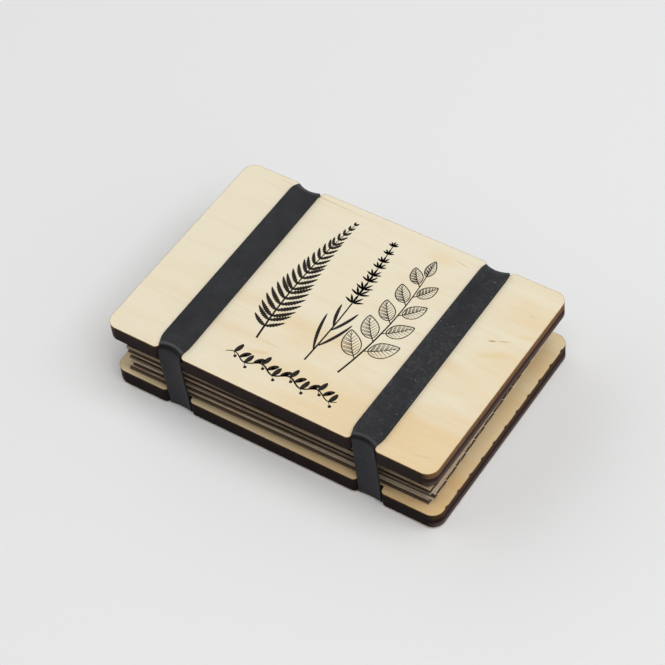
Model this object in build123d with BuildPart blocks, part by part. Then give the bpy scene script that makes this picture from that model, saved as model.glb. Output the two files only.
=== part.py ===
"""Pocket flower press: two plywood boards hold a pile of corrugated cards and blotting sheets,
and two wide rubber bands round the short way, kept in place by notches, press the pile together.

Lengths are in millimetres and angles in degrees. X runs along the boards, Y across them, Z up.
The press stands on the lower runs of its bands, with the origin below the middle of the boards.
"""

import os
from math import atan2, ceil, cos, degrees, radians, sin

from build123d import *

# Plywood boards, cut from one sheet
board_length = 135.0
board_width = 90.0
board_thickness = 6.5
board_corner_radius = 4.5

# Notches in the boards' long sides, which keep the bands in place
notch_inset = 27.75
notch_width = 9.8
notch_depth = 3.0
notch_lip_radius = 1.8
notch_corner_radius = 1.0

# How far the upper board has slipped and turned on the pile
board_slip_x = 0.5
board_slip_y = 0.4
board_turn = 0.33

# Corrugated cards, cut smaller than the boards: two liners with a wave of flutes between them
card_count = 5
card_end_margin = 5.5
card_side_margin = 4.0
liner_thickness = 0.3
flute_height = 2.15
flute_pitch = 6.5
wave_thickness = 0.25
flute_crest_share = 0.26
flute_crest_radius = 0.8
flute_phase_shares = (0.15, 0.62, 0.38, 0.85, 0.5)

# Blotting sheets, laid in pairs between the cards and trimmed a little smaller
blotters_in_a_gap = 2
blotter_trim = 0.5
blotter_thickness = 0.3

# The hand-laid pile: its place on the lower board, and the stray of each sheet in it
pile_shift_x = 0.4
pile_shift_y = -1.2
pile_turn = 1.1
sheet_slip = 1.0
sheet_turn = 0.6
card_stray_shares = (
    (-0.9, -0.15, -0.3),
    (0.6, 0.35, 0.7),
    (0.3, -0.3, -0.7),
    (-0.2, 0.0, 0.0),
    (0.0, 0.15, 0.3),
)
blotter_stray_shares = (
    (-0.3, 0.5, 0.2),
    (0.7, -0.2, -0.4),
    (0.2, 0.6, 0.5),
    (-0.6, 0.1, -0.2),
    (0.5, 0.3, 0.1),
    (-0.1, -0.3, -0.5),
    (0.4, 0.2, 0.4),
    (-0.5, 0.4, -0.1),
)

# Rubber bands, arched across their width where they bend into the notches
band_width = 10.0
band_thickness = 1.0
band_arch_radius = 8.0
band_seat_depth = 1.7
band_fold_radius = 0.8

# Sizes that follow from those above
notch_spacing = board_length - 2 * notch_inset
band_arch_y = board_width / 2 + band_arch_radius - band_seat_depth
card_length = board_length - 2 * card_end_margin
card_width = board_width - 2 * card_side_margin
blotter_length = card_length - 2 * blotter_trim
blotter_width = card_width - 2 * blotter_trim
card_thickness = flute_height + 2 * liner_thickness
cell_height = flute_height - wave_thickness
cell_crest = flute_crest_share * flute_pitch
cell_lean = flute_height / cell_height / 2
cell_base = (flute_pitch / 2 - wave_thickness - cell_crest * cell_lean) / (1 - cell_lean)
flank_angle = degrees(atan2(cell_height, (cell_base - cell_crest) / 2))
cell_count = ceil(card_width / flute_pitch) + 2

gap_thickness = blotters_in_a_gap * blotter_thickness
pile_height = card_count * card_thickness + (card_count - 1) * gap_thickness
bottom_board_z = band_thickness
pile_z = bottom_board_z + board_thickness
top_board_z = pile_z + pile_height
top_z = top_board_z + board_thickness

bottom_board_x = board_slip_x / 2
bottom_board_y = -board_slip_y / 2
top_board_x = -board_slip_x / 2
top_board_y = board_slip_y / 2


def level_plane(x: float, y: float, z: float, turn: float) -> Plane:
    """A level plane at a place, turned about the upright axis."""
    along = (cos(radians(turn)), sin(radians(turn)), 0)
    return Plane(origin=(x, y, z), x_dir=along, z_dir=(0, 0, 1))


def end_plane(x: float, y: float, z: float, turn: float) -> Plane:
    """An upright plane across a turned sheet, through its middle, that looks along its length."""
    along = (cos(radians(turn)), sin(radians(turn)), 0)
    across = (-sin(radians(turn)), cos(radians(turn)), 0)
    return Plane(origin=(x, y, z), x_dir=across, z_dir=along)


def sheet_place(stray: tuple) -> tuple:
    """Where a sheet lies in the pile: X, Y and turn, from its shares of the slip and the turn."""
    share_x, share_y, share_turn = stray
    return (
        pile_shift_x + share_x * sheet_slip,
        pile_shift_y + share_y * sheet_slip,
        pile_turn + share_turn * sheet_turn,
    )


def band_plan(arch_radius: float) -> Sketch:
    """A band's outline from above, with both ends arched inwards by this radius."""
    with BuildSketch() as plan:
        Rectangle(band_width, 2 * band_arch_y)
        with GridLocations(0, 2 * band_arch_y, 1, 2):
            Circle(arch_radius, mode=Mode.SUBTRACT)
    return plan.sketch


os.makedirs("parts", exist_ok=True)

# Both boards' outline: the notches have rounded lips and corners
with BuildSketch() as board_plan:
    Rectangle(board_length, board_width)
    fillet(board_plan.vertices(), radius=board_corner_radius)
    with GridLocations(notch_spacing, board_width, 2, 2):
        Rectangle(notch_width, 2 * notch_depth, mode=Mode.SUBTRACT)
    notch_reach = (notch_spacing + notch_width + notch_lip_radius) / 2
    notch_points = board_plan.vertices().filter_by_position(Axis.X, -notch_reach, notch_reach)
    notch_rows = notch_points.group_by(Axis.Y)
    fillet(notch_rows[1] + notch_rows[-2], radius=notch_corner_radius)
    lip_points = board_plan.vertices().filter_by_position(Axis.X, -notch_reach, notch_reach)
    lip_rows = lip_points.group_by(Axis.Y)
    fillet(lip_rows[0] + lip_rows[-1], radius=notch_lip_radius)

# Lower board
with BuildPart() as bottom_board:
    with BuildSketch(level_plane(bottom_board_x, bottom_board_y, bottom_board_z, 0)):
        add(board_plan.sketch)
    extrude(amount=board_thickness)
bottom_board.part.label = "bottom_board"
export_step(bottom_board.part, "parts/bottom_board.step")

# Upper board, slipped and turned a little on the pile
with BuildPart() as top_board:
    with BuildSketch(level_plane(top_board_x, top_board_y, top_board_z, -board_turn)):
        add(board_plan.sketch)
    extrude(amount=board_thickness)
top_board.part.label = "top_board"
export_step(top_board.part, "parts/top_board.step")

# One flute's open cell, wide on its liner and rounded under the crest of the wave
with BuildSketch() as flute_cell:
    Trapezoid(cell_base, cell_height, flank_angle)
    fillet(flute_cell.vertices().group_by(Axis.Y)[-1], radius=flute_crest_radius)

# Corrugated cards: cells on the lower and the upper liner alternate, and the wave is what stands between
# them. The row of cells runs past both long edges, so that the flutes are cut open there.
for card_index in range(card_count):
    card_x, card_y, card_turn = sheet_place(card_stray_shares[card_index % len(card_stray_shares)])
    card_z = pile_z + card_index * (card_thickness + gap_thickness)
    phase = flute_phase_shares[card_index % len(flute_phase_shares)] * flute_pitch
    cell_rise = (flute_height - cell_height) / 2
    card_middle = end_plane(card_x, card_y, card_z + card_thickness / 2, card_turn)
    with BuildPart() as card:
        with BuildSketch(card_middle.offset(-card_length / 2)):
            Rectangle(card_width, card_thickness)
            with Locations((phase, -cell_rise)):
                with GridLocations(flute_pitch, 0, cell_count, 1):
                    add(flute_cell.sketch, mode=Mode.SUBTRACT)
            with Locations((phase - flute_pitch / 2, cell_rise)):
                with GridLocations(flute_pitch, 0, cell_count, 1):
                    add(flute_cell.sketch, rotation=180, mode=Mode.SUBTRACT)
        extrude(amount=card_length)
    card.part.label = f"card_{card_index + 1}"
    export_step(card.part, f"parts/card_{card_index + 1}.step")

# Blotting sheets
for blotter_index in range((card_count - 1) * blotters_in_a_gap):
    stray = blotter_stray_shares[blotter_index % len(blotter_stray_shares)]
    blotter_x, blotter_y, blotter_turn = sheet_place(stray)
    cards_below = blotter_index // blotters_in_a_gap + 1
    blotter_z = pile_z + cards_below * card_thickness + blotter_index * blotter_thickness
    with BuildPart() as blotter:
        with BuildSketch(level_plane(blotter_x, blotter_y, blotter_z, blotter_turn)):
            Rectangle(blotter_length, blotter_width)
        extrude(amount=blotter_thickness)
    blotter.part.label = f"blotter_{blotter_index + 1}"
    export_step(blotter.part, f"parts/blotter_{blotter_index + 1}.step")

# Rubber bands: each lies round both boards and bends into the notches, clear of their walls and the pile
for band_name, band_side in (("left_band", -1), ("right_band", 1)):
    band_x = band_side * notch_spacing / 2
    with BuildPart() as band:
        with BuildSketch(level_plane(band_x, 0, 0, 0)):
            add(band_plan(band_arch_radius - band_thickness))
        extrude(amount=top_z + band_thickness)
        fold_rows = band.edges().filter_by(GeomType.CIRCLE).group_by(Axis.Z)
        fillet(fold_rows[0] + fold_rows[-1], radius=band_fold_radius)
        with BuildSketch(level_plane(band_x, 0, band_thickness, 0)):
            add(band_plan(band_arch_radius))
        extrude(amount=top_z - band_thickness, mode=Mode.SUBTRACT)
    band.part.label = band_name
    export_step(band.part, f"parts/{band_name}.step")
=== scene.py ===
"""Looks of a pocket flower press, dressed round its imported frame.

The press is two laser-cut birch boards that clamp a pile of corrugated cards and blotting sheets, and two
wide rubber bands that pull them together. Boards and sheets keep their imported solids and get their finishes
here. The bands are modelled anew, so that they arch and fold into the boards' notches, and a printed plant
design lies on the upper board.

Sizes are in millimetres and turns in degrees unless a name says otherwise. Meshes are made in metres.
"""

from __future__ import annotations

import logging
import math
from collections.abc import Callable
from dataclasses import dataclass, field
from enum import Enum
from functools import partial
from typing import Any

import bpy
import numpy as np
from mathutils import Matrix, Vector
from numpy.typing import NDArray


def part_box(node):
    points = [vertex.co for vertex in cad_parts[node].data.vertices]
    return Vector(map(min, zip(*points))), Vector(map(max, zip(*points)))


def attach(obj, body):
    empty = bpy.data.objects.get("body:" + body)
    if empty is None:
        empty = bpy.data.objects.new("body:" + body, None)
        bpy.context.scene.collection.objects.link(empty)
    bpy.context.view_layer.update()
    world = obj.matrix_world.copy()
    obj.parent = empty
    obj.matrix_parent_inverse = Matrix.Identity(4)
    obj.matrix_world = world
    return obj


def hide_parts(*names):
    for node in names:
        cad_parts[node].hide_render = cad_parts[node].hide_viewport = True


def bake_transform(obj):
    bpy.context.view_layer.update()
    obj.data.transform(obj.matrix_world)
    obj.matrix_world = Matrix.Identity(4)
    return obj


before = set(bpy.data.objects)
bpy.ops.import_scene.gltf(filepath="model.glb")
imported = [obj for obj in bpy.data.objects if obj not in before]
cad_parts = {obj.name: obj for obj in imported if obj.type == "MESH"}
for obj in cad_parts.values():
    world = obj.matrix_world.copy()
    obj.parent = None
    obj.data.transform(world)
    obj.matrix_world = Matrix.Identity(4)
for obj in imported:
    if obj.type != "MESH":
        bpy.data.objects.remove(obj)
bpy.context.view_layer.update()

MM = 0.001
Points = NDArray[np.float64]
Quads = NDArray[np.int64]
Pair = tuple[float, float]
Triple = tuple[float, float, float]
Stops = tuple[tuple[float, str], ...]
Feeds = dict[int | str, Any]
Adder = Callable[..., Any]

logging.basicConfig(level=logging.INFO, format="%(message)s")
log = logging.getLogger("flower_press")


class Side(Enum):
    """The two ends of the press, by the sign of X."""

    LEFT = -1
    RIGHT = 1


class Dust(Enum):
    """How dusty a rubber band is, as a share of the dustiest."""

    LIGHT = 0.2
    HEAVY = 1.0


def linear(colour: str) -> tuple[float, float, float, float]:
    """Turn an sRGB hex colour to linear light.

    Args:
        colour: a hash sign and six hex digits.

    Returns:
        Red, green, blue and a full alpha, by the sRGB transfer curve.
    """
    parts = [int(colour[place:place + 2], 16) / 255 for place in (1, 3, 5)]
    red, green, blue = (p / 12.92 if p <= 0.04045 else ((p + 0.055) / 1.055) ** 2.4 for p in parts)
    return red, green, blue, 1.0


def add_node(tree: bpy.types.NodeTree, kind: str, feeds: Feeds | None = None, **settings: Any) -> Any:
    """Add one shader node to a tree, with its settings and links.

    By number, MapRange takes the value, the two ends of its range and what they become, and a Mix of colours
    takes the share of the second as 0 and the colours as 6 and 7.

    Args:
        tree: the node tree that takes the node.
        kind: the node's type name, less the prefix that all shader nodes have.
        feeds: what goes into each input, by its name or number: a number, a hex colour, a socket, or a node
            for the first output that its settings leave on.
        settings: attributes of the node. "stops" are the (place, hex colour) pairs of a colour ramp.

    Returns:
        The new node.
    """
    made = tree.nodes.new(f"ShaderNode{kind}")
    for number, (place, colour) in enumerate(settings.pop("stops", ())):
        elements = made.color_ramp.elements
        element = elements[number] if number < len(elements) else elements.new(place)
        element.position = place
        element.color = linear(colour)
    for name, value in settings.items():
        setattr(made, name, value)
    for key, value in (feeds or {}).items():
        if isinstance(value, bpy.types.Node):
            value = next(output for output in value.outputs if output.enabled)
        if isinstance(value, bpy.types.NodeSocket):
            tree.links.new(value, made.inputs[key])
        else:
            made.inputs[key].default_value = linear(value) if isinstance(value, str) else value
    return made


def new_material(name: str) -> tuple[bpy.types.Material, Adder]:
    """Start a material with no nodes.

    Args:
        name: the material's name.

    Returns:
        The material, and add_node for its tree.
    """
    material = bpy.data.materials.new(name)
    material.use_nodes = True
    material.node_tree.nodes.clear()
    return material, partial(add_node, material.node_tree)


def tint(add: Adder, colour: Any, pigment: str, distance: Any, near: float, far: float, strength: Any) -> Any:
    """Fade a pigment into a colour by a smooth step of a distance.

    Args:
        add: adds a node to the material.
        colour: the colour so far.
        pigment: the hex colour that is added.
        distance: what the pigment fades with.
        near: the distance with all of the pigment.
        far: the distance with none of it.
        strength: the share of the pigment where it is strongest.

    Returns:
        The tinted colour.
    """
    fade = {0: distance, 1: near, 2: far, 3: strength, 4: 0.0}
    share = add("MapRange", fade, interpolation_type="SMOOTHSTEP")
    return add("Mix", {0: share, 6: colour, 7: pigment}, data_type="RGBA")


def dress(piece: bpy.types.Object, material: bpy.types.Material) -> None:
    """Give a piece one material in place of all that it has."""
    piece.data.materials.clear()
    piece.data.materials.append(material)


def grid_faces(rows: int, columns: int, loop: bool = False) -> Quads:
    """Number the quads of a grid of points.

    Args:
        rows: points along the first parameter.
        columns: points along the second parameter.
        loop: whether both parameters close on themselves.

    Returns:
        Four point numbers a quad, counter-clockwise where the first parameter runs right and the second up.
    """
    last_row, last_column = (rows, columns) if loop else (rows - 1, columns - 1)
    row, column = np.meshgrid(np.arange(last_row), np.arange(last_column), indexing="ij")
    next_row, next_column = (row + 1) % rows, (column + 1) % columns
    corners = [row * columns + column, next_row * columns + column]
    corners += [next_row * columns + next_column, row * columns + next_column]
    return np.stack(corners, axis=-1).reshape(-1, 4)


def new_piece(name: str, points: Points, quads: Quads) -> bpy.types.Object:
    """Make a smooth mesh object at the origin.

    Args:
        name: the piece's name.
        points: its points, in millimetres in the frame.
        quads: its faces, as point numbers.

    Returns:
        The object, linked to the scene.
    """
    mesh = bpy.data.meshes.new(name)
    mesh.from_pydata((points * MM).tolist(), [], quads.tolist())
    mesh.shade_smooth()
    piece = bpy.data.objects.new(name, mesh)
    bpy.context.scene.collection.objects.link(piece)
    return piece


@dataclass(frozen=True)
class Mottle:
    """Soft noise that blends one colour into another, as fibres, bloom and thin ink do.

    The sizes are those of a patch along X, Y and Z. The blend starts at one value of the noise and is full at
    another.
    """

    sizes: Triple
    detail: float
    roughness: float
    start: float
    full: float
    first: str
    second: str

    def paint(self, add: Adder, place: Any) -> tuple[Any, Any, Any]:
        """Add the mottle to a material.

        Args:
            add: adds a node to the material.
            place: the place on the piece in metres.

        Returns:
            The noise, the share of the second colour, and the blended colour.
        """
        spot = add("VectorMath", {0: place, 1: tuple(size * MM for size in self.sizes)}, operation="DIVIDE")
        noise = add("TexNoise", {"Vector": spot, "Scale": 1.0, "Detail": self.detail,
                                 "Roughness": self.roughness})
        share = add("MapRange", {0: noise, 1: self.start, 2: self.full})
        return noise, share, add("Mix", {0: share, 6: self.first, 7: self.second}, data_type="RGBA")


@dataclass(frozen=True)
class WoodMarkAndShade:
    """A veneer ellipse with a full heart and a soft rim, from the board's middle: for wood marks and painted
    shade.
    """

    colour: str
    strength: float
    place: Pair
    length: float
    width: float
    turn: float
    heart: float = 0.15


@dataclass(frozen=True)
class BirchPlywood:
    """Sanded birch plywood, cut by laser.

    Rotary-cut birch is pale and nearly without figure: soft clouds along the grain, faint growth lines and a
    few brown pith flecks. Its pores are too fine to show, so the grain is drawn coarser. The laser leaves the
    cut edge charred, a thin brown rim on the faces, and small flash marks where the beam met the bars of its
    bed. Plies are given from the lower face up, by their share of the height.
    """

    pale: str = "#ede3c9"
    warm: str = "#ead0a4"
    tanned: str = "#e6cf9c"
    line: str = "#dcc097"
    fleck: str = "#c79f68"
    rim: str = "#8a6a45"
    flash: str = "#2a1b11"
    end_plies: Stops = (
        (0.0, "#2e201d"), (0.12, "#5a4b43"), (0.32, "#4b3c36"), (0.38, "#351f1f"), (0.6, "#3a2222"),
        (0.67, "#755f4c"), (0.74, "#6f4f30"), (1.0, "#865e35"))
    charred_plies: Stops = (
        (0.0, "#5c504f"), (0.14, "#6f6363"), (0.32, "#574a4a"), (0.4, "#331a1a"), (0.6, "#331a1a"),
        (0.68, "#4c3424"), (0.76, "#573d29"), (1.0, "#5e4229"))
    side_plies: Stops = ((0.0, "#251d1c"), (0.5, "#291f1d"), (0.93, "#2e221d"), (1.0, "#644a30"))
    roughness: float = 0.62
    face_gloss: float = 0.3
    char_gloss: float = 0.05
    cut_tilt: float = 0.5
    relief: float = 0.05
    figure_size: Triple = (60.0, 17.0, 1.0)
    warm_side: Triple = (0.5, -0.86, 0.0)
    warm_drift: float = 0.45
    warm_from: float = 0.4
    warm_full: float = 0.85
    grain_size: Triple = (38.0, 0.9, 1.0)
    grain_span: Pair = (0.3, 0.7)
    grain_dark: float = 0.97
    grain_light: float = 1.015
    growth_gap: float = 13.0
    growth_wander: float = 1.6
    growth_blur: float = 0.1
    growth_strength: float = 0.08
    fleck_size: Triple = (30.0, 3.0, 1.0)
    fleck_share: float = 0.06
    fleck_heart: float = 0.03
    fleck_reach: float = 0.18
    fleck_strength: float = 0.45
    ragged_per_mm: float = 0.9
    rim_width: float = 0.3
    rim_strength: float = 0.7
    flash_pitch: float = 7.8
    flash_size: Triple = (1.1, 0.55, 1.0)
    flash_ragged: float = 0.7
    flash_heart: float = 0.9
    flash_reach: float = 1.4
    flash_strength: float = 0.95
    striation: float = 0.7
    ply_waver: float = 0.06
    beam_span: Pair = (0.25, 0.75)
    beam_dark: float = 0.8
    beam_light: float = 1.16

    def veneer(self, add: Adder, local: Any, board: Board) -> tuple[Any, Any]:
        """Paint a face with the grain along X.

        Args:
            add: adds a node to the material.
            local: the place on the board in millimetres.
            board: the board that is painted.

        Returns:
            The colour, and the fine grain as a height.
        """
        cloud_at = add("VectorMath", {0: local, 1: self.figure_size}, operation="DIVIDE")
        cloud = add("TexNoise", {"Vector": cloud_at, "Scale": 1.0, "Detail": 3.0, "Roughness": 0.55,
                                 "Distortion": 0.3})
        toward = add("VectorMath", {0: local, 1: self.warm_side}, operation="DOT_PRODUCT")
        slope = self.warm_drift / board.length
        drift = add("Math", {0: toward, 1: slope, 2: cloud}, operation="MULTIPLY_ADD")
        clouded = tint(add, self.warm, self.pale, drift, self.warm_from, self.warm_full, 1.0)

        grain_at = add("VectorMath", {0: local, 1: self.grain_size}, operation="DIVIDE")
        grain = add("TexNoise", {"Vector": grain_at, "Scale": 1.0, "Detail": 4.0, "Roughness": 0.65})
        start, full = self.grain_span
        shade = add("MapRange", {0: grain, 1: start, 2: full, 3: self.grain_dark, 4: self.grain_light})
        grained = add("VectorMath", {0: clouded, 3: shade}, operation="SCALE")

        across = add("SeparateXYZ", {0: local}).outputs["Y"]
        count = add("Math", {0: across, 1: self.growth_gap}, operation="DIVIDE")
        rings = add("Math", {0: cloud, 1: self.growth_wander, 2: count}, operation="MULTIPLY_ADD")
        saw = add("Math", {0: rings, 1: 0.5}, operation="PINGPONG")
        lined = tint(add, grained, self.line, saw, 0.0, self.growth_blur, self.growth_strength)

        fleck_at = add("VectorMath", {0: local, 1: self.fleck_size}, operation="DIVIDE")
        cells = add("TexVoronoi", {"Vector": fleck_at, "Scale": 1.0})
        chance = add("SeparateColor", {0: cells.outputs["Color"]}).outputs["Red"]
        kept = add("Math", {0: chance, 1: 1 - self.fleck_share}, operation="GREATER_THAN")
        strength = add("Math", {0: kept, 1: self.fleck_strength}, operation="MULTIPLY")
        away = cells.outputs["Distance"]
        colour = tint(add, lined, self.fleck, away, self.fleck_heart, self.fleck_reach, strength)
        # The marks: natural marks of the wood, and painted shade at the pile's foot on the lower board.
        for mark in board.marks:
            half = (mark.length / 2, mark.width / 2, board.thickness)
            turn = (0.0, 0.0, math.radians(mark.turn))
            place = (*mark.place, board.thickness)
            spot = add("Mapping", {"Vector": local, "Location": place, "Rotation": turn, "Scale": half},
                       vector_type="TEXTURE")
            away = add("VectorMath", {0: spot}, operation="LENGTH")
            colour = tint(add, colour, mark.colour, away, mark.heart, 1.0, mark.strength)
        return colour, grain

    def overrun(self, add: Adder, local: Any, board: Board) -> Any:
        """Measure how far a place on a face lies past the board's outline.

        The place is folded into one quarter of the board. For the rounded rectangle the distance is the
        length of what lies outside an inner rectangle, less the corner radius. For a notch it is the lesser
        of the distance past its floor and the distance past its rounded lip, found like a corner's. The
        greater of both counts.

        Args:
            add: adds a node to the material.
            local: the place on the board in millimetres.
            board: the board that is painted.

        Returns:
            The distance, less than zero inside the outline.
        """
        radius, lip, half_width = board.corner_radius, board.notch_lip, board.width / 2
        nought = (0.0, 0.0, 0.0)
        folded = add("VectorMath", {0: local}, operation="ABSOLUTE")
        inner = (board.length / 2 - radius, half_width - radius, board.length)
        beyond = add("VectorMath", {0: folded, 1: inner}, operation="SUBTRACT")
        outside = add("VectorMath", {0: beyond, 1: nought}, operation="MAXIMUM")
        reach = add("VectorMath", {0: outside}, operation="LENGTH")
        edge = add("Math", {0: reach, 1: radius}, operation="SUBTRACT")

        axes = add("SeparateXYZ", {0: folded})
        aside = add("Math", {0: axes.outputs["X"], 1: board.notch_spacing / 2}, operation="SUBTRACT")
        beside = add("Math", {0: aside}, operation="ABSOLUTE")
        inward = add("Math", {0: board.notch_width / 2 + lip, 1: beside}, operation="SUBTRACT")
        outward = add("Math", {0: axes.outputs["Y"], 1: half_width - lip}, operation="SUBTRACT")
        corner = add("CombineXYZ", {0: inward, 1: outward})
        bent = add("VectorMath", {0: corner, 1: nought}, operation="MAXIMUM")
        bend = add("VectorMath", {0: bent}, operation="LENGTH")
        wall = add("Math", {0: bend, 1: lip}, operation="SUBTRACT")
        floor = add("Math", {0: axes.outputs["Y"], 1: half_width - board.notch_depth}, operation="SUBTRACT")
        notch = add("Math", {0: wall, 1: floor}, operation="MINIMUM")
        return add("Math", {0: edge, 1: notch}, operation="MAXIMUM")

    def scorch(self, add: Adder, local: Any, board: Board, colour: Any) -> Any:
        """Brown a face along the cut edge, and add the flash marks of the right-hand end.

        Args:
            add: adds a node to the material.
            local: the place on the board in millimetres.
            board: the board that is painted.
            colour: the face's colour so far.

        Returns:
            The browned colour.
        """
        ragged = add("TexNoise", {"Vector": local, "Scale": self.ragged_per_mm, "Detail": 2.0})
        past = self.overrun(add, local, board)
        wobble = add("Math", {0: ragged, 1: self.rim_width, 2: past}, operation="MULTIPLY_ADD")
        half = self.rim_width / 2
        rimmed = tint(add, colour, self.rim, wobble, half, -half, self.rim_strength)
        if not board.flash_marks:
            return rimmed
        axes = add("SeparateXYZ", {0: local})
        along = add("Math", {0: axes.outputs["Y"], 1: self.flash_pitch / 2}, operation="PINGPONG")
        inward = add("Math", {0: board.length / 2, 1: axes.outputs["X"]}, operation="SUBTRACT")
        spot = add("CombineXYZ", {0: along, 1: inward})
        scaled = add("VectorMath", {0: spot, 1: self.flash_size}, operation="DIVIDE")
        away = add("VectorMath", {0: scaled}, operation="LENGTH")
        blurred = add("Math", {0: ragged, 1: self.flash_ragged, 2: away}, operation="MULTIPLY_ADD")
        return tint(add, rimmed, self.flash, blurred, self.flash_heart, self.flash_reach, self.flash_strength)

    def cut_edge(self, add: Adder, local: Any, board: Board) -> Any:
        """Paint the charred plies, browner at the ends than along the sides, with the beam's upright lines.

        Args:
            add: adds a node to the material.
            local: the place on the board in millimetres.
            board: the board that is painted.

        Returns:
            The colour of the cut edge.
        """
        axes = add("SeparateXYZ", {0: local})
        share = add("Math", {0: axes.outputs["Z"], 1: board.thickness}, operation="DIVIDE")
        line = (self.striation, self.striation, board.thickness)
        beam_at = add("VectorMath", {0: local, 1: line}, operation="DIVIDE")
        beam = add("TexNoise", {"Vector": beam_at, "Scale": 1.0, "Detail": 3.0})
        uneven = add("Math", {0: beam, 1: self.ply_waver, 2: share}, operation="MULTIPLY_ADD")
        end = add("ValToRGB", {0: uneven}, stops=self.charred_plies if board.flash_marks else self.end_plies)
        side = add("ValToRGB", {0: uneven}, stops=self.side_plies)
        reach = add("Math", {0: axes.outputs["X"]}, operation="ABSOLUTE")
        half, radius = board.length / 2, board.corner_radius
        turned = add("MapRange", {0: reach, 1: half - radius, 2: half - radius / 4})
        plies = add("Mix", {0: turned, 6: side, 7: end}, data_type="RGBA")
        dark, light = self.beam_dark * board.edge_light, self.beam_light * board.edge_light
        start, full = self.beam_span
        shade = add("MapRange", {0: beam, 1: start, 2: full, 3: dark, 4: light})
        return add("VectorMath", {0: plies, 3: shade}, operation="SCALE")

    def material(self, board: Board) -> bpy.types.Material:
        """Make the finish of one board.

        Args:
            board: the board, for its place, turn and size.

        Returns:
            The material.
        """
        material, add = new_material(f"birch_plywood_{board.node}")
        coordinates = add("TexCoord")
        turn = (0.0, 0.0, math.radians(board.turn))
        place = coordinates.outputs["Object"]
        local = add("Mapping", {"Vector": place, "Location": board.foot, "Rotation": turn,
                                "Scale": (MM, MM, MM)}, vector_type="TEXTURE")
        colour, grain = self.veneer(add, local, board)
        toned = add("Mix", {0: board.tan, 6: colour, 7: self.tanned}, data_type="RGBA", blend_type="MULTIPLY")
        face = self.scorch(add, local, board, toned)
        edge = self.cut_edge(add, local, board)
        upright = add("SeparateXYZ", {0: coordinates.outputs["Normal"]}).outputs["Z"]
        level = add("Math", {0: upright}, operation="ABSOLUTE")
        is_cut = add("Math", {0: level, 1: self.cut_tilt}, operation="LESS_THAN")
        whole = add("Mix", {0: is_cut, 6: face, 7: edge}, data_type="RGBA")
        gloss = add("MapRange", {0: is_cut, 3: self.face_gloss, 4: self.char_gloss})
        bump = add("Bump", {"Strength": 0.2, "Distance": self.relief * MM, "Height": grain})
        shader = add("BsdfPrincipled", {"Base Color": whole, "Roughness": self.roughness,
                                        "Specular IOR Level": gloss, "Normal": bump})
        add("OutputMaterial", {"Surface": shader})
        return material


@dataclass(frozen=True)
class SheetPaper:
    """What the sheets of the pile share: fibrous matte paper, with painted shade on its long cut sides.

    Real fibres are too fine to show, so they are drawn coarser.
    """

    fibres: Mottle
    roughness: float
    relief: float
    gloss: float = 0.15
    # Painted shade: the long cut sides, which face along Y, are darkened to this share.
    painted_side_shade: float = 0.4
    side_from: float = 0.9

    def lined(self, add: Adder, coordinates: Any, colour: Any) -> Any:
        """Colour the sheet's inside, which is as its outside unless a kind of sheet says otherwise."""
        return colour

    def material(self, name: str) -> bpy.types.Material:
        """Make the finish of a sheet.

        Args:
            name: the material's name.

        Returns:
            The material, with painted shade on the sides that face along Y.
        """
        material, add = new_material(name)
        coordinates = add("TexCoord")
        noise, _, colour = self.fibres.paint(add, coordinates.outputs["Object"])
        whole = self.lined(add, coordinates, colour)
        # Painted shade on the sides that face along Y.
        facing = add("VectorMath", {0: coordinates.outputs["Normal"]}, operation="ABSOLUTE")
        across = add("SeparateXYZ", {0: facing}).outputs["Y"]
        is_side = add("Math", {0: across, 1: self.side_from}, operation="GREATER_THAN")
        shade = add("MapRange", {0: is_side, 3: 1.0, 4: self.painted_side_shade})
        toned = add("VectorMath", {0: whole, 3: shade}, operation="SCALE")
        bump = add("Bump", {"Strength": 0.3, "Distance": self.relief * MM, "Height": noise})
        shader = add("BsdfPrincipled", {"Base Color": toned, "Roughness": self.roughness,
                                        "Specular IOR Level": self.gloss, "Normal": bump})
        add("OutputMaterial", {"Surface": shader})
        return material


@dataclass(frozen=True)
class KraftCard(SheetPaper):
    """Corrugated kraft card: pale liners, mottled by their fibres, and a wave of darker paper.

    The cut edges show the liners' pale paper, and the open flutes between them are lined with the darker
    paper, painted darker still as shade.
    """

    fibres: Mottle = Mottle((2.6, 0.5, 0.5), 4.0, 0.7, 0.32, 0.68, "#bca68b", "#d6c4aa")
    roughness: float = 0.9
    relief: float = 0.05
    # Darker fluting paper, darkened further as painted shade in the hollow flutes.
    flute_paper_and_shade: str = "#5e4f40"
    skin: float = 0.05
    node: str = "card_1"

    def lined(self, add: Adder, coordinates: Any, colour: Any) -> Any:
        """Darken the flutes, with darker paper and painted shade: what slants and lies within the card's box,
        less a thin skin.

        Args:
            add: adds a node to the material.
            coordinates: the node that gives place and direction.
            colour: the liners' colour.

        Returns:
            The colour inside and out.
        """
        low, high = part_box(self.node)
        middle, half = (low.z + high.z) / 2, (high.z - low.z) / 2
        facing = add("VectorMath", {0: coordinates.outputs["Normal"]}, operation="ABSOLUTE")
        axes = add("SeparateXYZ", {0: facing})
        square = add("Math", {0: axes.outputs["X"], 1: axes.outputs["Y"]}, operation="MAXIMUM")
        slanted = add("Math", {0: square, 1: self.side_from}, operation="LESS_THAN")
        height = add("SeparateXYZ", {0: coordinates.outputs["Object"]}).outputs["Z"]
        within = add("Math", {0: height, 1: middle, 2: half - self.skin * MM}, operation="COMPARE")
        hollow = add("Math", {0: slanted, 1: within}, operation="MULTIPLY")
        # Painted shade, together with the darker fluting paper, in the flutes.
        return add("Mix", {0: hollow, 6: colour, 7: self.flute_paper_and_shade}, data_type="RGBA")


@dataclass(frozen=True)
class BlottingPaper(SheetPaper):
    """Unsized cotton blotting paper: soft, off-white and quite without shine."""

    fibres: Mottle = Mottle((1.1, 1.1, 1.1), 5.0, 0.7, 0.35, 0.65, "#bbac97", "#d0c4b2")
    roughness: float = 0.95
    relief: float = 0.04


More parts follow.
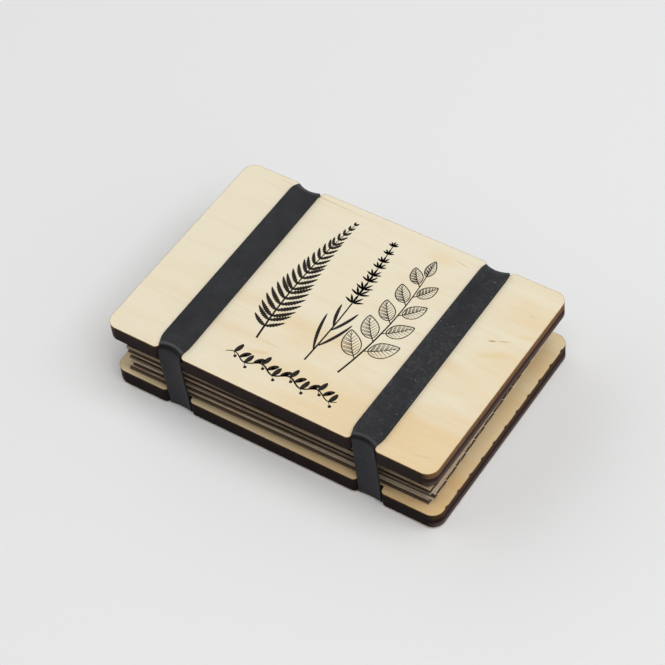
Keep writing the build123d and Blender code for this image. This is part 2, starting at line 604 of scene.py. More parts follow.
@dataclass(frozen=True)
class BlackRubber:
    """Cut sheet rubber, matte black: greyed by bloom, smudged by dust where it lies level, with lint specks.

    It has a painted highlight on the crest over a fold, less so under dust, and painted shade in the pinch
    below.
    """

    bloom: Mottle = Mottle((9.0, 9.0, 9.0), 5.0, 0.65, 0.35, 0.7, "#242427", "#2d2e32")
    dust_grey: str = "#4e4e4c"
    # Painted shade for the pinch below a fold, and a painted highlight for the crest above it.
    painted_fold_shading: str = "#0a0a0b"
    painted_crest_highlight: str = "#5a5b5e"
    speck: str = "#77766f"
    roughness: float = 0.66
    gloss: float = 0.25
    relief: float = 0.05
    skin_size: float = 0.35
    level_from: float = 0.2
    level_full: float = 0.8
    smudge_size: float = 1.3
    smudge_from: float = 0.42
    smudge_full: float = 0.72
    smudge_strength: float = 0.6
    speck_gap: float = 1.2
    speck_share: float = 0.24
    speck_least: float = 0.06
    speck_most: float = 0.17
    crest_highlight_strength: float = 0.66
    crest_highlight_dusted: float = 0.3

    def material(self, name: str, dust: Dust) -> bpy.types.Material:
        """Make the finish of one band.

        Args:
            name: the band's name.
            dust: how dusty it is.

        Returns:
            The material, which reads the band's own "fold" attribute for the painted highlight on the crest
            and the painted shade in the pinch.
        """
        material, add = new_material(f"black_rubber_{name}")
        coordinates = add("TexCoord")
        place = coordinates.outputs["Object"]
        _, greyed, bloomed = self.bloom.paint(add, place)
        smear = add("TexNoise", {"Vector": place, "Scale": 1 / self.smudge_size / MM, "Detail": 2.0})
        level = add("SeparateXYZ", {0: coordinates.outputs["Normal"]}).outputs["Z"]
        most = self.smudge_strength * dust.value
        settled = add("MapRange", {0: level, 1: self.level_from, 2: self.level_full, 4: most})
        patchy = add("Math", {0: settled, 1: greyed}, operation="MULTIPLY")
        smudge = add("MapRange", {0: smear, 1: self.smudge_from, 2: self.smudge_full, 4: patchy})
        smudged = add("Mix", {0: smudge, 6: bloomed, 7: self.dust_grey}, data_type="RGBA")

        cells = add("TexVoronoi", {"Vector": place, "Scale": 1 / self.speck_gap / MM})
        chance = add("SeparateColor", {0: cells.outputs["Color"]}).outputs
        kept = add("Math", {0: chance["Red"], 1: self.speck_share * dust.value}, operation="LESS_THAN")
        size = add("MapRange", {0: chance["Green"], 3: self.speck_least, 4: self.speck_most})
        near = add("Math", {0: cells.outputs["Distance"], 1: size}, operation="LESS_THAN")
        lint = add("Math", {0: near, 1: kept}, operation="MULTIPLY")
        faint = add("Math", {0: lint, 1: chance["Blue"]}, operation="MULTIPLY")
        dusted = add("Mix", {0: faint, 6: smudged, 7: self.speck}, data_type="RGBA")

        # Painted shade in the pinch below a fold, and a painted highlight on the crest, both read from the
        # fold attribute.
        fold = add("Attribute", attribute_name="fold").outputs["Fac"]
        folded = add("Mix", {0: fold, 6: dusted, 7: self.painted_fold_shading}, data_type="RGBA")
        highlight_share = self.crest_highlight_dusted * dust.value - self.crest_highlight_strength
        pull = add("Math", {0: fold, 1: highlight_share}, operation="MULTIPLY")
        colour = add("Mix", {0: pull, 6: folded, 7: self.painted_crest_highlight}, data_type="RGBA")
        skin = add("TexNoise", {"Vector": place, "Scale": 1 / self.skin_size / MM, "Detail": 3.0})
        bump = add("Bump", {"Strength": 0.3, "Distance": self.relief * MM, "Height": skin})
        shader = add("BsdfPrincipled", {"Base Color": colour, "Roughness": self.roughness,
                                        "Specular IOR Level": self.gloss, "Normal": bump})
        add("OutputMaterial", {"Surface": shader})
        return material


@dataclass(frozen=True)
class PrintInk:
    """Black screen ink on bare veneer: dense, dull, and a little brown where it is thin on the grain."""

    wear: Mottle = Mottle((0.8, 0.8, 0.8), 3.0, 0.5, 0.4, 0.75, "#171310", "#33291f")
    roughness: float = 0.7
    gloss: float = 0.25

    def material(self) -> bpy.types.Material:
        """Make the finish of the printed lines.

        Returns:
            The material.
        """
        material, add = new_material("black_print_ink")
        _, _, colour = self.wear.paint(add, add("TexCoord").outputs["Object"])
        shader = add("BsdfPrincipled", {"Base Color": colour, "Roughness": self.roughness,
                                        "Specular IOR Level": self.gloss})
        add("OutputMaterial", {"Surface": shader})
        return material


@dataclass
class Board:
    """One plywood board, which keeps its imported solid. Its turn is about the upright through its middle."""

    node: str
    turn: float
    tan: float
    edge_light: float
    flash_marks: bool
    marks: tuple[WoodMarkAndShade, ...] = ()
    corner_radius: float = 4.5
    notch_width: float = 9.8
    notch_depth: float = 3.0
    notch_lip: float = 1.8
    notch_spacing: float = field(init=False)
    length: float = field(init=False)
    width: float = field(init=False)
    thickness: float = field(init=False)
    foot: Vector = field(init=False)

    def __post_init__(self) -> None:
        """Read the blank's size from the square lower board, and this board's place from its own box."""
        low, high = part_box("bottom_board")
        self.length, self.width, self.thickness = ((high - low) / MM)[:]
        self.notch_spacing = (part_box("right_band")[0].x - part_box("left_band")[0].x) / MM
        low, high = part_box(self.node)
        self.foot = Vector(((low.x + high.x) / 2, (low.y + high.y) / 2, low.z))

    @property
    def top(self) -> float:
        """Height of the board's upper face."""
        return self.foot.z / MM + self.thickness

    def place(self, flat: Points, lift: float) -> Points:
        """Carry points on or above the upper face into the frame.

        Args:
            flat: places on the board from its middle, along and across.
            lift: height above the upper face.

        Returns:
            The places in the frame, turned with the board.
        """
        angle = math.radians(self.turn)
        spin = np.array([[math.cos(angle), math.sin(angle)], [-math.sin(angle), math.cos(angle)]])
        level = flat @ spin + np.array([self.foot.x, self.foot.y]) / MM
        return np.concatenate([level, np.full((len(flat), 1), self.top + lift)], axis=1)

    def build(self, finish: BirchPlywood) -> None:
        """Dress the board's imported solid."""
        dress(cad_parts[self.node], finish.material(self))
        log.info("%s: plywood, %.1f by %.1f mm", self.node, self.length, self.width)


@dataclass
class Pile:
    """The cards and blotting sheets between the boards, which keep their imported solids."""

    blotter_finish: BlottingPaper = BlottingPaper()

    def build(self) -> None:
        """Dress every sheet of the pile, each card by its own box."""
        blotting = self.blotter_finish.material("cotton_blotting_paper")
        for name, node in sorted(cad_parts.items()):
            if name.startswith("card"):
                dress(node, KraftCard(node=name).material(f"kraft_corrugated_{name}"))
                log.info("%s: corrugated card", name)
            elif name.startswith("blotter"):
                dress(node, blotting)
                log.info("%s: blotting paper", name)


def logistic(value: Points) -> Points:
    """Step smoothly from 0 to 1 about 0, by the logistic curve, with the power held finite."""
    return 1 / (1 + np.exp(np.minimum(-value, 50.0)))


@dataclass
class RubberBand:
    """A wide flat rubber band, drawn tight round both boards the short way, through their notches.

    The notches are narrower than the band, so it gathers into them, and its upright spans arch, with their
    middle deepest. Over each upper fold stands a low bead with a painted highlight, and a pinch below it that
    is darkened by painted shade. In front the pile may push the span out. Of a pair of values the first is
    for the front and the second for the rear.
    """

    side: Side
    dust: Dust
    upper: Board
    lower: Board
    push: float
    shifts: Pair
    spreads: Pair
    arch_skews: Pair
    finish: BlackRubber = BlackRubber()
    upper_seat: float = 2.9
    lower_seat: float = 2.2
    stray: float = -0.05
    fold_radius: float = 0.62
    edge_radius: float = 0.32
    contact_gap: float = 0.03
    waist_share: float = 0.07
    gather_places: Pair = (-1.5, -0.9)
    gather_blurs: Pair = (0.75, 0.45)
    grip_reach: float = 3.4
    arch: float = 1.25
    low_arch_share: float = 0.3
    bead: float = 0.18
    bead_place: float = -0.55
    bead_reach: float = 0.38
    pinch: float = 0.6
    crease_start: float = -0.1
    crease_end: float = 1.15
    crease_blur: float = 0.09
    run_steps: int = 48
    fold_steps: int = 13
    face_steps: int = 17
    edge_steps: int = 4

    @property
    def node(self) -> str:
        """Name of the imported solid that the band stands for."""
        return f"{self.side.name.lower()}_band"

    def corners(self) -> Points:
        """Find where the middle of the band's inner face turns, from the front bottom notch up and over.

        Returns:
            Four places in the frame, each as deep in its board's notch as the band sits there.
        """
        across = self.side.value * self.lower.notch_spacing / 2
        places = []
        for board, end in ((self.lower, -1), (self.upper, -1), (self.upper, 1), (self.lower, 1)):
            is_upper = board is self.upper
            seat = self.upper_seat if is_upper else self.lower_seat
            flat = np.array([[across, end * (board.width / 2 - seat)]])
            lift = self.contact_gap if is_upper else -board.thickness - self.contact_gap
            places.append(board.place(flat, lift))
        return np.concatenate(places)

    def loop(self, offset: float) -> tuple[Points, Points, Points]:
        """Draw the band's middle line: four straight runs, joined by arcs about points inside the corners.

        Points crowd towards both ends of a run by a cosine law. An arc's place is its centre plus the outward
        direction times the radius, with the direction turned evenly from one run's to the next one's. Along X
        the line goes straight from notch to notch.

        Args:
            offset: how far the line lies outside the inner corners.

        Returns:
            The places, the outward directions as Y and Z, and the distance along the line to the next fold.
        """
        inner = self.corners()
        flat = inner[:, 1:]
        runs = np.roll(flat, -1, axis=0) - flat
        ahead = runs / np.linalg.norm(runs, axis=1, keepdims=True)
        outward = np.stack([-ahead[:, 1], ahead[:, 0]], axis=1)
        radius = self.fold_radius
        places, directions, distances = [], [], []
        share = 0.5 - 0.5 * np.cos(np.linspace(0.0, np.pi, self.run_steps))[:-1]
        angle = np.linspace(0.0, 1.0, self.fold_steps)[:-1]
        for number in range(len(inner)):
            following = (number + 1) % len(inner)
            start = flat[number] + outward[number] * offset + ahead[number] * (radius - offset)
            stop = flat[following] + outward[number] * offset - ahead[number] * (radius - offset)
            sideways = inner[number, 0] + share * (inner[following, 0] - inner[number, 0])
            places.append(np.column_stack([sideways, start + share[:, None] * (stop - start)]))
            directions.append(np.repeat(outward[number][None], len(share), axis=0))
            length = np.linalg.norm(stop - start)
            distances.append(np.minimum(share, 1 - share) * length + radius * np.pi / 4)
            first = math.atan2(outward[number][1], outward[number][0])
            turn = math.atan2(outward[following][1], outward[following][0]) - first
            turn = (turn + math.pi) % (2 * math.pi) - math.pi
            spun = np.stack([np.cos(first + turn * angle), np.sin(first + turn * angle)], axis=1)
            bend = stop - outward[number] * radius + spun * radius
            places.append(np.column_stack([np.full(len(angle), inner[following, 0]), bend]))
            directions.append(spun)
            distances.append(np.abs(angle - 0.5) * radius * np.pi / 2)
        return np.concatenate(places), np.concatenate(directions), np.concatenate(distances)

    def section(self, half_width: float, half_depth: float) -> Points:
        """Outline the band's cross-section: a flat strip with rounded edges.

        Args:
            half_width: half of the strip's width.
            half_depth: half of its thickness.

        Returns:
            Places across and out of the strip, round the outline.
        """
        flat = half_width - self.edge_radius
        drop = half_depth - self.edge_radius
        across = np.linspace(-flat, flat, self.face_steps)
        faces = np.stack([across, np.full_like(across, -half_depth)], axis=1)
        angle = np.linspace(-np.pi / 2, np.pi / 2, 2 * self.edge_steps)[1:-1]
        bend = np.stack([np.cos(angle), np.sin(angle)], axis=1) * self.edge_radius
        edge = np.array([flat, 0.0]) + bend + np.sign(bend) * np.array([0.0, drop])
        half = np.concatenate([faces, edge])
        return np.concatenate([half, -half])

    def surface(self) -> tuple[Points, Points]:
        """Carry the section along the loop.

        A point lies at the loop's place, out along its direction by the section's depth plus a bead at the
        upper folds, and across by the section's width, which a logistic step of the distance past the fold
        takes from the spread of the faces to the waist in the notches. There it also moves out by an arch
        that grows with the height and with the square of the share across plus a skew. Just past an upper
        fold the outer face is pinched in, by two logistic steps. The push in front is the height share times
        one less its eighth power. Bead and arch die away as bell curves of the distance along the loop.

        Returns:
            The points as a grid along the loop and round the section, and the painted shading of each: 1 for
            painted shade in the pinch below a fold and less than 0 for a painted highlight on the crest above
            it.
        """
        low, high = (np.array(corner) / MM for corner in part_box(self.node))
        half_width = (high[0] - low[0]) / 2
        depth = self.lower.foot.z / MM - low[2] - self.contact_gap
        places, directions, distances = self.loop(depth / 2)
        outline = self.section(half_width, depth / 2)
        share = outline[:, 0] / half_width

        upright = np.abs(directions[:, 0])
        rear = np.sign(places[:, 1])
        pairs = (self.arch_skews, self.gather_places, self.gather_blurs)
        skew, gather_place, gather_blur = (np.where(rear < 0, *pair) for pair in pairs)
        height = np.clip((places[:, 2] - low[2]) / (high[2] - low[2]), 0.0, 1.0)
        is_high = height > 0.5
        past = distances * np.where(upright > math.sqrt(0.5), 1, -1)
        grip = np.maximum(upright, np.exp(-((distances / self.grip_reach) ** 2)))
        lean = self.low_arch_share + (1 - self.low_arch_share) * height
        arch = self.arch * (grip * lean)[:, None] * (share + skew[:, None]) ** 2
        crest = np.exp(-(((past - self.bead_place) / self.bead_reach) ** 2)) * is_high
        enter = logistic((past - self.crease_start) / self.crease_blur)
        leave = logistic((self.crease_end - past) / self.crease_blur)
        pinch = enter * leave * is_high
        push = self.push * height * (1 - height**8) * upright * (rear < 0)
        skin = 0.5 + outline[:, 1] / depth
        out = arch + push[:, None] - (self.pinch * upright * pinch)[:, None] * skin

        rise = outline[:, 1] + self.bead * crest[:, None]
        along_y = places[:, 1, None] + directions[:, 0, None] * rise + rear[:, None] * out
        along_z = places[:, 2, None] + directions[:, 1, None] * rise
        gather = logistic((past - gather_place) / gather_blur)
        ends = (low[1], high[1])
        spread, shift = (np.interp(places[:, 1], ends, pair) for pair in (self.spreads, self.shifts))
        stretch = 1 + spread * (1 - gather) - self.waist_share * gather
        aside = shift * (1 - gather) + self.stray * (1 - height)
        along_x = places[:, 0, None] + stretch[:, None] * outline[:, 0] + aside[:, None]
        # Painted shading for the material: painted shade in the pinch, and a painted highlight on the crest.
        painted_fold_shading = np.repeat((pinch - crest)[:, None], len(outline), axis=1)
        return np.stack([along_x, along_y, along_z], axis=-1), painted_fold_shading

    def build(self) -> None:
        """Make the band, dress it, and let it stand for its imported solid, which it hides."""
        grid, painted_fold_shading = self.surface()
        rows, columns = grid.shape[:2]
        band = new_piece(f"{self.node}_rubber", grid.reshape(-1, 3), grid_faces(rows, columns, loop=True))
        # The fold attribute carries the painted shade and the painted highlight to the material.
        fold = band.data.attributes.new("fold", "FLOAT", "POINT")
        fold.data.foreach_set("value", painted_fold_shading.ravel().astype(np.float32))
        dress(band, self.finish.material(self.node, self.dust))
        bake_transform(band)
        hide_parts(self.node)
        log.info("%s: %d faces", band.name, len(band.data.polygons))


def square_to(path: Points) -> Points:
    """Find the unit directions to the left of a path, each a quarter turn from the path's gradient.

    Args:
        path: places along the path.

    Returns:
        One direction for each place.
    """
    ahead = np.gradient(path, axis=0)
    ahead /= np.linalg.norm(ahead, axis=1, keepdims=True)
    return np.stack([-ahead[:, 1], ahead[:, 0]], axis=1)


def bent_path(base: Any, heading: float, length: float, bend: float, steps: int) -> Points:
    """Draw a line whose heading turns evenly: the running sum of short steps along the heading.

    Args:
        base: where it starts.
        heading: its first direction, from straight back, positive to the right.
        length: its length.
        bend: how far it turns in all.
        steps: how many points it has.

    Returns:
        The places along it.
    """
    angle = np.radians(heading + bend * np.linspace(0.0, 1.0, steps))
    moves = np.stack([np.sin(angle), np.cos(angle)], axis=1) * length / (steps - 1)
    return np.asarray(base) + np.cumsum(moves, axis=0) - moves[0]


def pen(width: float, steps: int, point: float, power: float = 0.6) -> Points:
    """Widths of a pen line: a power of a sine, from a share of the width at both ends to all of it."""
    return width * (point + (1 - point) * np.sin(np.linspace(0.0, np.pi, steps)) ** power)


@dataclass
class InkSheet:
    """Flat strokes of one printed motif, gathered as grids of points on the board."""

    points: list[Points] = field(default_factory=list)
    quads: list[Quads] = field(default_factory=list)
    count: int = 0

    def stroke(self, path: Points, width: Points | float) -> None:
        """Add one stroke: each point of a path, moved square to it, to both sides, by half the width there.

        Args:
            path: places on the board along the stroke.
            width: the stroke's width, the same all along or one for each place.
        """
        half = np.broadcast_to(np.asarray(width) / 2, len(path))[:, None] * square_to(path)
        self.points.append(np.stack([path - half, path + half], axis=1).reshape(-1, 2))
        self.quads.append(grid_faces(len(path), 2) + self.count)
        self.count += 2 * len(path)

    def piece(self, name: str, board: Board, finish: bpy.types.Material, film: float) -> None:
        """Turn the strokes into one thin film that rides on the board.

        Args:
            name: the piece's name.
            board: the board that carries it.
            finish: the ink.
            film: the film's thickness, of which a half stands above the board.
        """
        flat = np.concatenate(self.points)
        made = new_piece(name, board.place(flat, film / 2), np.concatenate(self.quads))
        solid = made.modifiers.new("film", "SOLIDIFY")
        solid.thickness = film * MM
        solid.offset = -1.0
        dress(made, finish)
        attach(made, board.node)
        log.info("%s: %d strokes", name, len(self.points))


@dataclass(frozen=True)
class Motif:
    """A printed plant with an evenly bent stem, in two pen widths. Places are from the middle of the board.

    The stem's swell is its width at foot and tip, in pen widths. What grows on it does so within a span of
    shares of its length. Of a leaf, belly is the power that sets its widest place, and fullness the power
    that rounds it.
    """

    base: Pair
    heading: float
    bend: float
    length: float
    swell: Pair
    span: Pair
    steps: int = 60
    line: float = 0.38
    hair: float = 0.2

    @property
    def path(self) -> Points:
        """Places along the stem."""
        return bent_path(self.base, self.heading, self.length, self.bend, self.steps)

    def at(self, share: float) -> tuple[Points, float]:
        """Place and heading on the stem, at a share of its length."""
        return self.path[int(share * (self.steps - 1))], self.heading + self.bend * share

    def stem(self) -> InkSheet:
        """Start a sheet with the stem.

        Returns:
            The sheet, with one stroke.
        """
        sheet = InkSheet()
        sheet.stroke(self.path, np.linspace(*self.swell, self.steps) * self.line)
        return sheet


@dataclass(frozen=True)
class Fern(Motif):
    """A fern frond: pairs of toothed leaflets on a curved rib, longest low down and short at the tip.

    The leaflets stand away from the rib by a spread that closes towards the tip.
    """

    base: Pair = (-17.0, -24.0)
    heading: float = -7.0
    bend: float = 16.0
    length: float = 62.0
    swell: Pair = (2.2, 0.7)
    span: Pair = (0.1, 0.985)
    steps: int = 64
    pairs: int = 21
    reach: float = 10.5
    foot_share: float = 0.45
    foot_growth: float = 2.2
    tip_place: float = 1.04
    tip_power: float = 0.75
    least_reach: float = 0.6
    width: float = 2.1
    slim_share: float = 0.35
    belly: float = 0.75
    fullness: float = 0.7
    least_width: float = 0.1
    tooth_depth: float = 0.18
    tooth_steps: int = 6
    spread: float = 72.0
    closing: float = 34.0
    droop: float = 24.0

    def draw(self) -> InkSheet:
        """Draw the frond, each leaflet as one wide stroke.

        A leaflet's reach grows along the lowest quarter of the rib and then falls as a power of what is left
        of it. Its width is a sine of a power of the share along it, times a cosine that cuts one tooth a
        millimetre.

        Returns:
            Its strokes.
        """
        sheet = self.stem()
        for share in np.linspace(*self.span, self.pairs):
            root, ahead = self.at(share)
            grown = min(1.0, self.foot_share + self.foot_growth * share)
            reach = self.reach * grown * (self.tip_place - share) ** self.tip_power + self.least_reach
            teeth = max(3, round(reach))
            along = np.linspace(0.0, 1.0, self.tooth_steps * teeth)
            full = self.width * (self.slim_share + (1 - self.slim_share) * reach / self.reach)
            width = full * np.sin(np.pi * along**self.belly) ** self.fullness
            cuts = 1 - self.tooth_depth + self.tooth_depth * np.cos(2 * np.pi * teeth * along)
            for side in Side:
                away = ahead + side.value * (self.spread - self.closing * share)
                leaflet = bent_path(root, away, reach, -side.value * self.droop, len(along))
                sheet.stroke(leaflet, width * cuts + self.least_width)
        return sheet


@dataclass(frozen=True)
class Lavender(Motif):
    """A lavender stalk: whorls of ribbed buds, smaller to the tip, and narrow blades below.

    Each bud is three ribs that part and close again. A blade is given by its share of the stalk, its side and
    its length.
    """

    base: Pair = (3.0, -24.0)
    heading: float = 3.0
    bend: float = -9.0
    length: float = 60.0
    swell: Pair = (1.8, 1.0)
    span: Pair = (0.5, 0.985)
    whorls: int = 9
    taper: float = 0.5
    taper_from: float = 0.55
    fans: tuple[float, ...] = (-66.0, -34.0, 34.0, 66.0, 0.0)
    fan_shortening: float = 0.002
    bud_length: float = 4.6
    bud_steps: int = 10
    rib_turn: float = 13.0
    rib_bend: float = 22.0
    rib_share: float = 0.925
    rib_width: float = 0.46
    middle_width: float = 0.62
    blades: tuple[tuple[float, int, float], ...] = (
        (0.1, -1, 17.0), (0.13, 1, 15.0), (0.27, 1, 12.0), (0.3, -1, 10.5))
    blade_turn: float = 30.0
    blade_bend: float = 20.0
    blade_width: float = 1.25
    blade_steps: int = 24

    def draw(self) -> InkSheet:
        """Draw the stalk with its whorls and blades.

        Returns:
            Its strokes.
        """
        sheet = self.stem()
        for share in np.linspace(*self.span, self.whorls):
            root, ahead = self.at(share)
            scale = 1.0 - self.taper * max(0.0, share - self.taper_from) / (1 - self.taper_from)
            for fan in self.fans:
                length = self.bud_length * scale * (1.0 - self.fan_shortening * abs(fan))
                for slip in (-1, 0, 1):
                    reach = length * self.rib_share if slip else length
                    away = ahead + fan + slip * self.rib_turn
                    rib = bent_path(root, away, reach, -slip * self.rib_bend, self.bud_steps)[1:]
                    sheet.stroke(rib, pen(self.rib_width if slip else self.middle_width, len(rib), point=0.3))
        for share, side, length in self.blades:
            root, _ = self.at(share)
            away = self.heading + side * self.blade_turn
            blade = bent_path(root, away, length, -side * self.blade_bend, self.blade_steps)
            sheet.stroke(blade, pen(self.blade_width, self.blade_steps, point=0.15))
        return sheet


@dataclass(frozen=True)
class Sprig(Motif):
    """A leafy sprig: broad leaves by turns on either side of a stem, and a slim one at its tip.

    The leaves stand away by a spread that closes towards the tip. A leaf's left half is hatched closely and
    its right half veined: of a pair of vein values the first is for the left.
    """

    base: Pair = (16.0, -23.0)
    heading: float = 14.0
    bend: float = -20.0
    length: float = 52.0
    swell: Pair = (2.0, 0.9)
    span: Pair = (0.16, 0.9)
    leaves: int = 9
    taper: float = 0.42
    spread: float = 58.0
    closing: float = 16.0
    stalk_length: float = 1.6
    stalk_steps: int = 5
    leaf_length: float = 12.5
    leaf_width: float = 7.4
    leaf_bend: float = 18.0
    leaf_steps: int = 28
    belly: float = 0.8
    fullness: float = 0.8
    rib_swell: Pair = (1.0, 0.4)
    tip_length_share: float = 0.62
    tip_width_share: float = 0.5
    veins: tuple[int, int] = (15, 7)
    vein_reaches: Pair = (0.94, 0.8)
    vein_swell: Pair = (1.2, 0.6)
    vein_lead: int = 4
    vein_steps: int = 5
    bare_steps: tuple[int, int] = (2, 7)

    def leaf(self, sheet: InkSheet, base: Points, heading: float, length: float, width: float,
             bend: float) -> None:
        """Draw one outlined leaf, with its midrib and veins.

        Its half-width is a sine of a power of the share along the midrib, so that it is widest below its
        middle. A vein goes from a place on the midrib towards the outline a few steps further on.

        Args:
            sheet: takes the strokes.
            base: where the leaf starts.
            heading: its direction, from straight back.
            length: the length of its midrib.
            width: its greatest width.
            bend: how far its midrib turns.
        """
        rib = bent_path(base, heading, length, bend, self.leaf_steps)
        along = np.linspace(0.0, 1.0, self.leaf_steps)
        half = width / 2 * np.sin(np.pi * along**self.belly) ** self.fullness
        reach = half[:, None] * square_to(rib)
        sheet.stroke(rib, np.linspace(*self.rib_swell, self.leaf_steps) * self.line)
        first, last = self.bare_steps[0], self.leaf_steps - self.bare_steps[1]
        for side, veins, share in zip(Side, self.veins, self.vein_reaches):
            sheet.stroke(rib - side.value * reach, self.line)
            for number in np.linspace(first, last, veins).astype(int):
                tip = number + self.vein_lead
                end = rib[tip] - side.value * share * reach[tip]
                vein = np.linspace(rib[number], end, self.vein_steps)
                sheet.stroke(vein, np.linspace(*self.vein_swell, self.vein_steps) * self.hair)

    def draw(self) -> InkSheet:
        """Draw the stem with its leaves.

        Returns:
            Its strokes.
        """
        sheet = self.stem()
        for number, share in enumerate(np.linspace(*self.span, self.leaves)):
            side = 1 if number % 2 else -1
            root, ahead = self.at(share)
            away = ahead + side * (self.spread - self.closing * share)
            stalk = bent_path(root, away, self.stalk_length, 0.0, self.stalk_steps)
            sheet.stroke(stalk, self.line)
            length, width = np.array([self.leaf_length, self.leaf_width]) * (1.0 - self.taper * share)
            self.leaf(sheet, stalk[-1], away, length, width, -side * self.leaf_bend)
        tip, ahead = self.at(1.0)
        length, width = self.leaf_length * self.tip_length_share, self.leaf_width * self.tip_width_share
        self.leaf(sheet, tip, ahead, length, width, 0.0)
        return sheet


@dataclass(frozen=True)
class Vine:
    """A vine border: a sine wave, with a leaf and a berry at every quarter of it.

    By turns the leaves have one turn and bend or the other, and the berries lie before or behind the wave.
    """

    span: float = 46.0
    place: float = -34.0
    wave: float = 11.5
    swing: float = 1.2
    width: float = 0.646
    steps: int = 120
    leaves: int = 15
    leaf_turns: Pair = (32.0, 28.0)
    leaf_length: float = 4.4
    leaf_width: float = 1.9
    leaf_bend: float = 30.0
    leaf_steps: int = 14
    berry_place: Pair = (1.5, -1.6)
    berry_radius: float = 0.62
    berry_steps: int = 13
    berry_end: float = 0.004
    stalk_steps: int = 4
    hair: float = 0.2

    def draw(self) -> InkSheet:
        """Draw the vine, its leaves as wide strokes, and its berries as short strokes as wide as a disc.

        A disc's width is the root of 1 less the square of the share across it, which is kept above 0.

        Returns:
            Its strokes.
        """
        sheet = InkSheet()
        along = np.linspace(-self.span / 2, self.span / 2, self.steps)
        swing = self.swing * np.sin(2 * np.pi * along / self.wave)
        vine = np.stack([along, self.place + swing], axis=1)
        sheet.stroke(vine, pen(self.width, self.steps, point=0.4))
        ray = np.linspace(-1.0, 1.0, self.berry_steps)
        disc = 2 * self.berry_radius * np.sqrt(np.clip(1 - ray**2, self.berry_end, 1.0))
        for number in np.arange(self.leaves) - self.leaves // 2:
            root = vine[np.abs(along - number * self.wave / 4).argmin()]
            side = 1 if number % 2 else -1
            away = self.leaf_turns[0 if side > 0 else 1]
            blade = bent_path(root, away, self.leaf_length, -self.leaf_bend * side, self.leaf_steps)
            sheet.stroke(blade, pen(self.leaf_width, self.leaf_steps, point=0.1))
            heart = root + np.array(self.berry_place) * np.array([1.0, side])
            sheet.stroke(np.linspace(root, heart, self.stalk_steps), self.hair)
            sheet.stroke(heart + ray[:, None] * np.array([self.berry_radius, 0.0]), disc)
        return sheet


@dataclass
class PlantPrint:
    """A plant design in fine black lines: pen strokes, and leaves that are filled as one wide stroke."""

    board: Board
    ink: PrintInk = PrintInk()
    film: float = 0.05

    def build(self) -> None:
        """Print the four motifs on the board, each as one piece."""
        finish = self.ink.material()
        for motif in (Fern(), Lavender(), Sprig(), Vine()):
            motif.draw().piece(f"{type(motif).__name__.lower()}_print", self.board, finish, self.film)


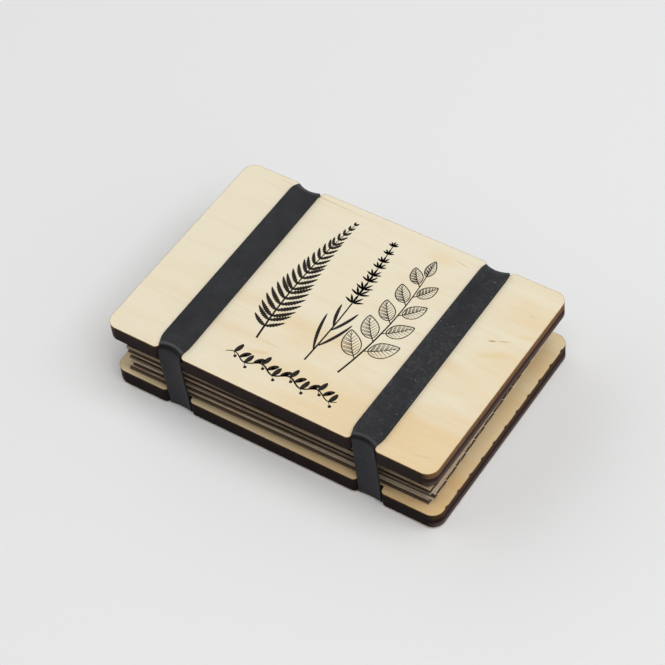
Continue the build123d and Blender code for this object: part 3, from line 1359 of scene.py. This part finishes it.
@dataclass
class Studio:
    """A pale matte floor, soft light from the upper right and from both sides, and the camera."""

    floor_colour: str = "#ebebeb"
    floor_roughness: float = 0.9
    floor_gloss: float = 0.1
    floor_size: float = 40000.0
    floor_gap: float = 0.1
    sky_left: float = 1.38
    sky_right: float = 0.73
    sky_back: float = 0.18
    sky_from: float = 0.3
    sky_full: float = 0.85
    lamp_watts: float = 77.0
    lamp_size: float = 3000.0
    lamp_distance: float = 3000.0
    lamp_direction: Triple = (0.37, 0.0, 0.929)
    aim: Triple = (-7.03, 5.47, 8.67)
    azimuth: float = 38.584
    elevation: float = 49.471
    roll: float = -7.170
    distance: float = 814.68
    lens: float = 123.43
    sensor: float = 36.0

    def floor(self) -> None:
        """Lay the floor just under the press."""
        half = self.floor_size / 2
        flat = np.array([[-half, -half], [half, -half], [half, half], [-half, half]])
        points = np.concatenate([flat, np.full((4, 1), -self.floor_gap)], axis=1)
        floor = new_piece("floor", points, np.array([[0, 1, 2, 3]]))
        material, add = new_material("matte_white_table")
        shader = add("BsdfPrincipled", {"Base Color": self.floor_colour, "Roughness": self.floor_roughness,
                                        "Specular IOR Level": self.floor_gloss})
        add("OutputMaterial", {"Surface": shader})
        dress(floor, material)

    def light(self) -> None:
        """Light the press by a sky, bright to the left, right and back, and a wide lamp at the upper right.

        The sky's three lobes are smooth steps of the direction's share towards each side.
        """
        world = bpy.data.worlds.new("soft_room")
        bpy.context.scene.world = world
        world.use_nodes = True
        world.node_tree.nodes.clear()
        add = partial(add_node, world.node_tree)
        direction = add("TexCoord").outputs["Generated"]
        strength: Any = 0.0
        sky = {(-1, 0, 0): self.sky_left, (1, 0, 0): self.sky_right, (0, 1, 0): self.sky_back}
        for toward, level in sky.items():
            share = add("VectorMath", {0: direction, 1: toward}, operation="DOT_PRODUCT")
            lobe = add("MapRange", {0: share, 1: self.sky_from, 2: self.sky_full, 4: level},
                       interpolation_type="SMOOTHSTEP")
            strength = add("Math", {0: lobe, 1: strength}, operation="ADD")
        glow = add("Background", {"Color": "#ffffff", "Strength": strength})
        add("OutputWorld", {"Surface": glow})
        lamp = bpy.data.lights.new("window_softbox", "AREA")
        lamp.energy = self.lamp_watts
        lamp.size = self.lamp_size * MM
        place = Vector(self.lamp_direction) * self.lamp_distance * MM
        holder = bpy.data.objects.new("window_softbox", lamp)
        turn = (-place).to_track_quat("-Z", "Y").to_matrix().to_4x4()
        holder.matrix_world = Matrix.Translation(place) @ turn
        bpy.context.scene.collection.objects.link(holder)

    def camera(self) -> None:
        """Set the camera: turned by azimuth, elevation and roll, and moved back from the aim."""
        tilt = math.radians(90 - self.elevation)
        turn = Matrix.Rotation(math.radians(self.azimuth), 4, "Z") @ Matrix.Rotation(tilt, 4, "X")
        turn = turn @ Matrix.Rotation(math.radians(self.roll), 4, "Z")
        back = Matrix.Translation((0.0, 0.0, self.distance * MM))
        lens = bpy.data.cameras.new("camera")
        lens.sensor_fit = "HORIZONTAL"
        lens.sensor_width = self.sensor
        lens.lens = self.lens
        camera = bpy.data.objects.new("camera", lens)
        camera.matrix_world = Matrix.Translation(Vector(self.aim) * MM) @ turn @ back
        bpy.context.scene.collection.objects.link(camera)
        bpy.context.scene.camera = camera

    def build(self) -> None:
        """Set up floor, light, camera and plain colour output."""
        self.floor()
        self.light()
        self.camera()
        bpy.context.scene.view_settings.view_transform = "Standard"
        log.info("studio: lens %.1f mm at %.0f mm", self.lens, self.distance)


def main() -> None:
    """Build the press from the boards outwards, then the studio."""
    plywood = BirchPlywood()
    marks = (
        WoodMarkAndShade("#bd9350", 0.9, (54.6, 14.7), 4.2, 1.2, 22.0),
        WoodMarkAndShade("#b8966a", 0.7, (58.2, 16.4), 6.5, 0.7, 22.0),
        WoodMarkAndShade("#c9ab80", 0.6, (61.2, 30.8), 4.6, 0.5, -9.0),
        WoodMarkAndShade("#e6cf9b", 0.6, (58.5, 9.5), 19.0, 5.0, 27.0),
        WoodMarkAndShade("#e6cf9b", 0.45, (64.5, 21.8), 9.0, 3.5, 20.0),
        WoodMarkAndShade("#d9bd94", 0.7, (-33.6, 42.6), 58.0, 0.9, -1.8),
        WoodMarkAndShade("#c9a67c", 0.6, (27.4, 39.9), 9.0, 0.6, -7.4),
        WoodMarkAndShade("#ecd0a4", 0.5, (20.0, 38.5), 17.0, 9.0, 0.0),
        WoodMarkAndShade("#cdab82", 0.5, (-11.0, -23.9), 13.0, 0.5, -1.0),
        WoodMarkAndShade("#e6c492", 0.5, (-12.0, -28.7), 12.0, 2.5, 17.0),
        WoodMarkAndShade("#dfc28a", 0.5, (60.0, -39.0), 14.0, 1.2, 15.7),
    )
    # Painted shade: a grey-brown band along the pile's foot on the lower board's face.
    painted_foot_shade = WoodMarkAndShade("#8f7a58", 0.65, (-14.0, -41.4), 170.0, 7.0, 1.1)
    lower = Board("bottom_board", turn=0.0, tan=0.42, edge_light=0.6, flash_marks=True, marks=(painted_foot_shade,))
    upper = Board("top_board", turn=-0.33, tan=0.0, edge_light=1.0, flash_marks=False, marks=marks)
    for board in (lower, upper):
        board.build(plywood)
    Pile().build()
    left = RubberBand(Side.LEFT, Dust.LIGHT, upper, lower, push=1.65, shifts=(-0.35, -1.0),
                      spreads=(0.215, 0.15), arch_skews=(0.05, -0.15))
    right = RubberBand(Side.RIGHT, Dust.HEAVY, upper, lower, push=0.0, shifts=(-0.05, -0.15),
                       spreads=(0.2, 0.08), arch_skews=(0.05, 0.05))
    for band in (left, right):
        band.build()
    PlantPrint(upper).build()
    Studio().build()


if __name__ == "__main__":
    main()
